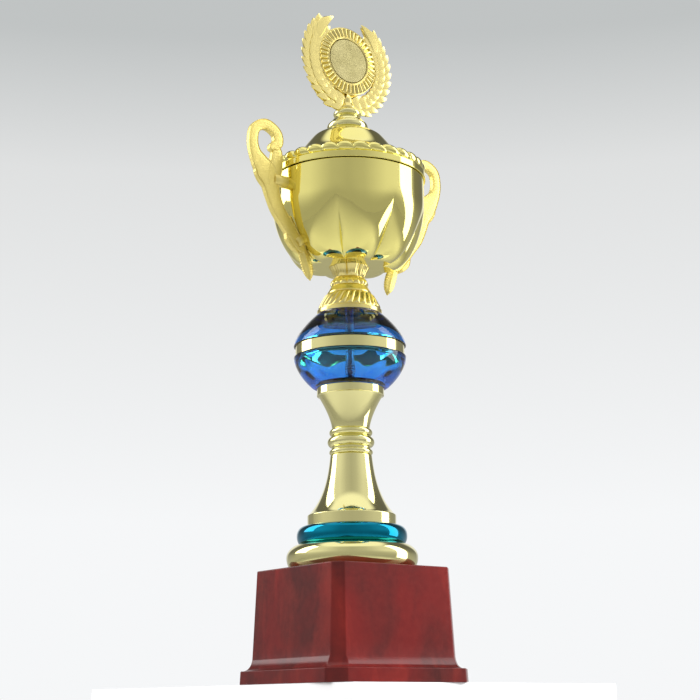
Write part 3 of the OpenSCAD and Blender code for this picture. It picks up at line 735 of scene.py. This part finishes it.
def make_wreath():
    """Leaves in three rows along two branches on a back plate, from the foot up round the disc,
    each branch ending in a horn."""
    centre, per_row = np.array([0, DISC_Z]), 12
    shells = [leaf(centre + [0, -28.5], centre + [0, -19.5], 2.8, 1.3, lift=0.5)]
    for side in (1, -1):
        flip = np.array([side, 1])
        rows = ((24.4, -0.48, 10.5, 2.5, 0.2), (22.4, -0.12, 10, 2.3, 0.6),
                (20.8, 0.10, 8.5, 1.9, 0.4))
        for k in range(per_row):
            t = k / (per_row - 1)
            angle = np.radians(-76 + 110 * t)
            wide = 1 + 0.11 * (1 - t)**2
            for radius, spread, reach, width, lift in rows:
                root = np.array([np.cos(angle), np.sin(angle)]) * radius * wide
                way = angle + pi / 2 + spread
                tip = root + np.array([np.cos(way), np.sin(way)]) * reach
                shells.append(leaf(centre + root * flip, centre + tip * flip, width, 1.2, lift))
        for start, end, width in (((1, -28), (12.5, -29), 2.6), ((2, -27), (11, -24), 2.4),
                                  ((1.5, -25.5), (9, -19), 2.4), ((5, -25.5), (14.5, -18), 2.5),
                                  ((23.4, 7.5), (17.6, 22.8), 2.9)):
            shells.append(leaf(centre + np.array(start) * flip, centre + np.array(end) * flip, width,
                               1.3, 0.5))
        shells.append(leaf(centre + np.array([20.6, 9]) * flip, centre + np.array([9.7, 24.5]) * flip,
                           3.3, 1.3, lift=0.9, bend=-2.4 * side, rows=24))
        spine = [(0, -26.5, 2.2), (8, -26, 3.2), (16, -21.4, 4.6), (21.8, -12, 4.4), (23.6, -2, 3.8),
                 (22.8, 8, 3.4), (19.0, 16, 2.6), (14.5, 20.5, 2.0), (10.4, 23.8, 0.2)]
        shells.append(band([(x * side, DISC_Z + z, w) for x, z, w in spine], 2.6, KEELED, middle=0.85))
    yoke = [(-9.5, DISC_Z - 22.5, 3.6), (0, DISC_Z - 23.4, 5.2), (9.5, DISC_Z - 22.5, 3.6)]
    shells.append(band(yoke, 2.2, KEELED, middle=1.0))
    z, bore = WREATH_Z, 2.05
    foot = np.array([[bore, z], [4.6, z], [4.6, z + 1.2], [3.4, z + 3.2], [2.7, z + 6.5],
                     [bore, z + 7]])
    shells.append(turned(fine(soften(foot, radius=0.4), 0.8), 48))
    piece("laurel_leaves", shells, CHASED_GOLD, "lid", ["wreath_holder"], sharp=50)


def to_axis(outline):
    """The half of a closed outline beyond radius 0.3, with both its ends brought to the axis."""
    half = outline[outline[:, 0] > 0.3]
    return join([0, half[0, 1]], half, [0, half[-1, 1]])


def make_sun_ring():
    """A dished ring round the disc with radial ribs, on the wreath's back plate."""
    seat, rim, rib_count = 12.8, 19.8, 40
    floor, back = 0.4, 2.2
    outline = np.array([[seat, floor], [seat, -1.5], [seat + 0.7, -2.1], [seat + 1.3, -1.6],
                        [rim - 1.2, -0.9], [rim - 0.6, -1.3], [rim, -0.9], [rim, back],
                        [-1, back], [-1, floor]])
    outline = to_axis(fine(soften(outline[::-1], radius=0.25), 0.5))
    angle = np.linspace(0, 2 * pi, 480, endpoint=False)[None, :]
    radius, depth = outline[:, :1] + 0 * angle, outline[:, 1:] + 0 * angle
    ribs = np.clip(np.abs(np.sin(rib_count / 2 * angle)) * 2.2 - 1.1, -1, 1)
    front = (depth < floor / 2) & (radius > seat + 1.1) & (radius < rim - 0.8)
    depth = np.where(front, depth - 0.55 * ribs * ease((radius - seat - 1.1) / 0.6), depth)
    grid = np.stack([radius * np.cos(angle), depth, DISC_Z + radius * np.sin(angle)], -1)
    piece("sunburst_ring", [closed_grid(grid, wrap_rows=False)], CHASED_GOLD, "lid",
          sharp=45)


def make_disc():
    """Round disc with a softly rounded edge, in the seat."""
    low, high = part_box("centre_disc")
    y0, y1, disc_r = low[1] / MM, high[1] / MM, 12.5
    outline = soften(np.array([[-1, y1], [-1, y0], [disc_r, y0], [disc_r, y1]]), radius=0.25)
    outline = to_axis(fine(outline, 1.0))
    angle = np.linspace(0, 2 * pi, 128, endpoint=False)[None, :]
    radius, depth = outline[:, :1] + 0 * angle, outline[:, 1:] + 0 * angle
    grid = np.stack([radius * np.cos(angle), depth, DISC_Z + radius * np.sin(angle)], -1)
    piece("disc_25mm", [closed_grid(grid, wrap_rows=False)], BRUSHED_DISC, "lid",
          ["centre_disc"])


# ---------------------------------------------------------------- handles

def make_handle(name, node, side):
    """One arm from the crook that curls in over the lid, down the flat body to the valley between
    two lobes, a neck under the curl, a thorn and a hook at the back, a leaf that hangs from the
    foot, and two bosses that the screws hold to the cup."""
    rim, cup = RIM_Z, CUP_Z
    screw_r, bore_r, boss_r = 2.7, 1.6, 3.2

    def strand(points, thick, section=RIMMED, teeth=0.0, count=80):
        """A band through (x, z, half width) points, which the left handle mirrors."""
        return band([(x * side, z, w) for x, z, w in points], thick, section, teeth=teeth, count=count)

    arm = strand([(50.2, rim + 7.2, 0.6), (50.4, rim + 9.4, 2.2), (47.0, rim + 12.6, 2.9),
                  (47.6, rim + 18.0, 2.9), (54.4, rim + 21.8, 2.9), (61.0, rim + 18.6, 2.8),
                  (62.6, rim + 11.5, 2.8), (61.4, rim + 5.4, 3.2), (58.4, rim + 0.6, 4.8),
                  (54.4, rim - 4.5, 6.6), (51.8, rim - 10, 5.3), (50.2, rim - 16, 4.4),
                  (46.8, rim - 24, 4.0), (41.8, rim - 30.5, 3.8), (36.8, rim - 37, 3.5),
                  (32.4, cup + 6.0, 3.0), (30.2, cup + 2.8, 0.8)], 3.4, count=220)
    neck = strand([(47.6, rim + 11.5, 0.8), (47.5, rim + 8, 2.9), (47.8, rim + 3, 3.6),
                   (48.8, rim - 3, 4.2), (50.2, rim - 9, 3.4), (51, rim - 14, 0.8)], 3.2)
    thorn = strand([(54.4, rim - 12, 2.0), (57.6, rim - 8.2, 2.2), (59.8, rim - 4.8, 1.5),
                    (61.0, rim - 1.8, 0.2)], 3.0)
    hook = strand([(40.6, rim - 35.5, 1.6), (39.4, cup + 8.6, 1.8), (35.6, cup + 4.6, 1.4),
                   (33.6, cup + 2.4, 0.2)], 3.0)
    hanging = strand([(32.2, cup + 6.6, 2.0), (30.0, cup + 2.4, 2.9), (28.2, cup - 2.6, 3.2),
                      (26.8, cup - 7.4, 2.5), (25.9, cup - 11.2, 0.2)], 3.2, KEELED, teeth=0.16)
    bosses = []
    for x, z, tilt, start, end in ((CUP_R, level("handle_screws", top=True) - screw_r, 0, -0.1, 8),
                                   (30.9, cup + 10.5, 36, -0.2, 5)):
        tilt = np.radians(tilt)
        out = np.array([np.cos(tilt), 0, -np.sin(tilt)])
        across = np.array([np.sin(tilt), 0, np.cos(tilt)])
        turn = np.linspace(0, 2 * pi, 40, endpoint=False)[None, :]
        rings = np.array([[bore_r, start], [boss_r - 0.2, start], [boss_r, start + 0.4],
                          [boss_r, end - 0.6], [boss_r - 0.6, end], [bore_r, end]])
        r, d = rings[:, :1], rings[:, 1:]
        points = (np.array([x, 0, z]) + (d + 0 * turn)[..., None] * out
                  + (r * np.cos(turn))[..., None] * across + (r * np.sin(turn))[..., None] * [0, 1, 0])
        bosses.append(closed_grid(points * [side, 1, 1]))
    piece(name, [arm, neck, thorn, hook, hanging, *bosses], SATIN_GOLD, "root",
          [node], sharp=45)


# ---------------------------------------------------------------- CAD nodes that stay

def dress(material, *names):
    """Gives CAD nodes a finish."""
    for name in names:
        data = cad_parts[name].data
        data.materials.clear()
        data.materials.append(material)


make_plinth()
make_gold_ring()
make_blue_ring()
make_column()
make_ball()
make_tie_rod()
make_stem()
make_cup()
make_lid()
make_neck()
make_wreath()
make_sun_ring()
make_disc()
make_handle("left_handle", "handle_left", -1)
make_handle("right_handle", "handle_right", 1)
dress(ZINC, "base_washer", "base_nut", "cup_washer", "cup_nut", "handle_screws", "finial_screw",
      "finial_washer")
dress(IRON, "ballast_plate")
dress(FOAM, "base_cover")


# ---------------------------------------------------------------- studio

def round_camera(degrees, distance, height):
    """A point at that angle round the cup from the camera's side, positive towards the right."""
    turn = np.radians(degrees)
    x, y = TO_CAMERA
    return (distance * (x * np.cos(turn) - y * np.sin(turn)),
            distance * (x * np.sin(turn) + y * np.cos(turn)), height)


def softbox(name, degrees, distance, height, width, tall, watts, shown):
    """A soft rectangular light that faces the cup, shown or not in polished faces."""
    data = bpy.data.lights.new(name, "AREA")
    data.shape = "RECTANGLE"
    data.size, data.size_y, data.energy = width, tall, watts
    light = bpy.data.objects.new(name, data)
    bpy.context.collection.objects.link(light)
    place = np.array(round_camera(degrees, distance, height))
    light.visible_glossy = shown
    back = place - [0, 0, height]
    back /= np.linalg.norm(back)
    across = np.cross([0, 0, 1], back)
    light.matrix_world = Matrix([[across[i], (0, 0, 1)[i], back[i], place[i]] for i in range(3)]
                                + [[0, 0, 0, 1]])


def make_world():
    """Pale surroundings: brighter behind the cup, dark gaps beside the softboxes, and a plain
    grey gradient where the background is seen straight or through the clear ball, which sees it
    dimmer towards its edges."""
    world = bpy.data.worlds.new("studio")
    bpy.context.scene.world = world
    world.use_nodes = True
    tree = world.node_tree
    tree.nodes.clear()

    def node(kind, **values):
        new = tree.nodes.new(kind)
        for key, value in values.items():
            setattr(new, key, value)
        return new

    def link(output, socket):
        tree.links.new(output, socket)

    where = node("ShaderNodeTexCoord")
    flat = node("ShaderNodeVectorMath", operation="MULTIPLY")
    flat.inputs[1].default_value = (1, 1, 0)
    link(where.outputs["Generated"], flat.inputs[0])
    unit = node("ShaderNodeVectorMath", operation="NORMALIZE")
    link(flat.outputs[0], unit.inputs[0])
    facing = node("ShaderNodeVectorMath", operation="DOT_PRODUCT")
    facing.inputs[1].default_value = (*TO_CAMERA, 0)
    link(unit.outputs[0], facing.inputs[0])
    angle = node("ShaderNodeMath", operation="ARCCOSINE")
    link(facing.outputs["Value"], angle.inputs[0])
    share = node("ShaderNodeMath", operation="DIVIDE")
    share.inputs[1].default_value = pi
    link(angle.outputs[0], share.inputs[0])

    def around(stops):
        """A grey level by the angle from the camera's side, from (degrees, value) stops."""
        ring = node("ShaderNodeValToRGB")
        band_stops = ring.color_ramp.elements
        for i, (degrees, value) in enumerate(stops):
            stop = band_stops[i] if i < 2 else band_stops.new(degrees / 180)
            stop.position = degrees / 180
            stop.color = (value, value, value, 1)
        link(share.outputs[0], ring.inputs[0])
        return ring.outputs[0]

    low_ring = around([(0, 0.48), (25, 0.55), (60, 0.85), (80, 0.9), (116, 0.45), (120, 0.22),
                       (150, 0.17), (157, 0.9), (180, 1.0)])
    high_ring = around([(0, 0.48), (25, 0.55), (60, 0.8), (86, 0.8), (104, 0.15), (180, 0.13)])

    height = node("ShaderNodeSeparateXYZ")
    link(where.outputs["Generated"], height.inputs[0])
    sky = node("ShaderNodeValToRGB")
    sky.color_ramp.elements[0].position, sky.color_ramp.elements[1].position = 0.12, 0.42
    sky.color_ramp.elements[0].color = (0.92, 0.93, 0.94, 1)
    sky.color_ramp.elements[1].color = (0.53, 0.55, 0.55, 1)
    middle = sky.color_ramp.elements.new(0.34)
    middle.color = (0.74, 0.75, 0.75, 1)
    link(height.outputs["Z"], sky.inputs[0])

    def rising(start, end):
        """0 to 1 as the sine of the elevation goes from start to end."""
        climb = node("ShaderNodeMapRange", interpolation_type="SMOOTHSTEP")
        climb.inputs["From Min"].default_value = start
        climb.inputs["From Max"].default_value = end
        link(height.outputs["Z"], climb.inputs["Value"])
        return climb.outputs["Result"]

    def mixed(amount, first, second):
        """Two greys mixed, each a socket or a number."""
        mix = node("ShaderNodeMix", data_type="RGBA")
        link(amount, mix.inputs[0])
        for value, socket in ((first, mix.inputs[6]), (second, mix.inputs[7])):
            if hasattr(value, "is_linked"):
                link(value, socket)
            else:
                socket.default_value = (value, value, value, 1)
        return mix.outputs[2]

    near_table = mixed(rising(-0.1, 0.35), 0.44, low_ring)
    walls = mixed(rising(0.34, 0.62), near_table, high_ring)
    room = mixed(rising(0.80, 0.90), walls, 1.1)

    path = node("ShaderNodeLightPath")
    aside = around([(0, 0.12), (110, 0.16), (140, 0.45), (166, 1.0)])
    dimmed = node("ShaderNodeMix", data_type="RGBA", blend_type="MULTIPLY")
    dimmed.inputs[0].default_value = 1.0
    link(sky.outputs[0], dimmed.inputs[6])
    link(mixed(path.outputs["Is Transmission Ray"], 1.0, aside), dimmed.inputs[7])
    seen = node("ShaderNodeMath", operation="MAXIMUM")
    link(path.outputs["Is Camera Ray"], seen.inputs[0])
    link(path.outputs["Is Transmission Ray"], seen.inputs[1])
    studio, background = node("ShaderNodeBackground"), node("ShaderNodeBackground")
    link(room, studio.inputs[0])
    link(dimmed.outputs[2], background.inputs[0])
    mixer = node("ShaderNodeMixShader")
    link(seen.outputs[0], mixer.inputs[0])
    link(studio.outputs[0], mixer.inputs[1])
    link(background.outputs[0], mixer.inputs[2])
    out = node("ShaderNodeOutputWorld")
    link(mixer.outputs[0], out.inputs[0])


def make_block():
    """The white block that the cup stands on, one corner towards the camera, and a floor below."""
    white = Finish("white_block", (0.86, 0.86, 0.86), 0.5)
    grain = white.noise(white.place(), 40)
    white.wire(white.spread(grain, 0.45, 0.6), "Roughness")
    side, drop, corner_out = 0.207, 0.5, 0.067
    near = TO_CAMERA * corner_out
    back = near - TO_CAMERA * side * np.sqrt(0.5)
    across = np.array([TO_CAMERA[1], -TO_CAMERA[0]]) * side * np.sqrt(0.5)
    far = near - TO_CAMERA * side * np.sqrt(2)
    corners = [near, back + across, far, back - across]
    points = [(*c, 0) for c in corners] + [(*c, -drop) for c in corners]
    faces = [(0, 1, 2, 3), (7, 6, 5, 4)] + [(i, i + 4, (i + 1) % 4 + 4, (i + 1) % 4) for i in range(4)]
    mesh = bpy.data.meshes.new("block")
    mesh.from_pydata(points, [], faces)
    mesh.materials.append(white.material)
    block = bpy.data.objects.new("block", mesh)
    bpy.context.collection.objects.link(block)
    reach = 3.0
    floor_mesh = bpy.data.meshes.new("floor")
    floor_mesh.from_pydata([(-reach, -reach, -drop), (reach, -reach, -drop), (reach, reach, -drop),
                            (-reach, reach, -drop)], [], [(0, 1, 2, 3)])
    floor_mesh.materials.append(Finish("studio_floor", (0.52, 0.52, 0.52), 0.6).material)
    floor = bpy.data.objects.new("floor", floor_mesh)
    bpy.context.collection.objects.link(floor)


make_world()
make_block()
# name, degrees round from the camera, distance, height, width, tall, watts, shown in polished faces
for light in (("left_softbox", -104, 1.3, 1.12, 0.75, 1.5, 11, True),
              ("right_softbox", 97, 1.3, 0.80, 0.62, 2.1, 12, True),
              ("right_fill", 92, 1.7, 0.9, 0.9, 0.9, 22, False),
              ("handle_fill", 58, 1.7, 1.2, 0.9, 0.9, 26, False),
              ("left_fill", -92, 1.7, 0.6, 0.9, 0.9, 26, False)):
    softbox(*light)
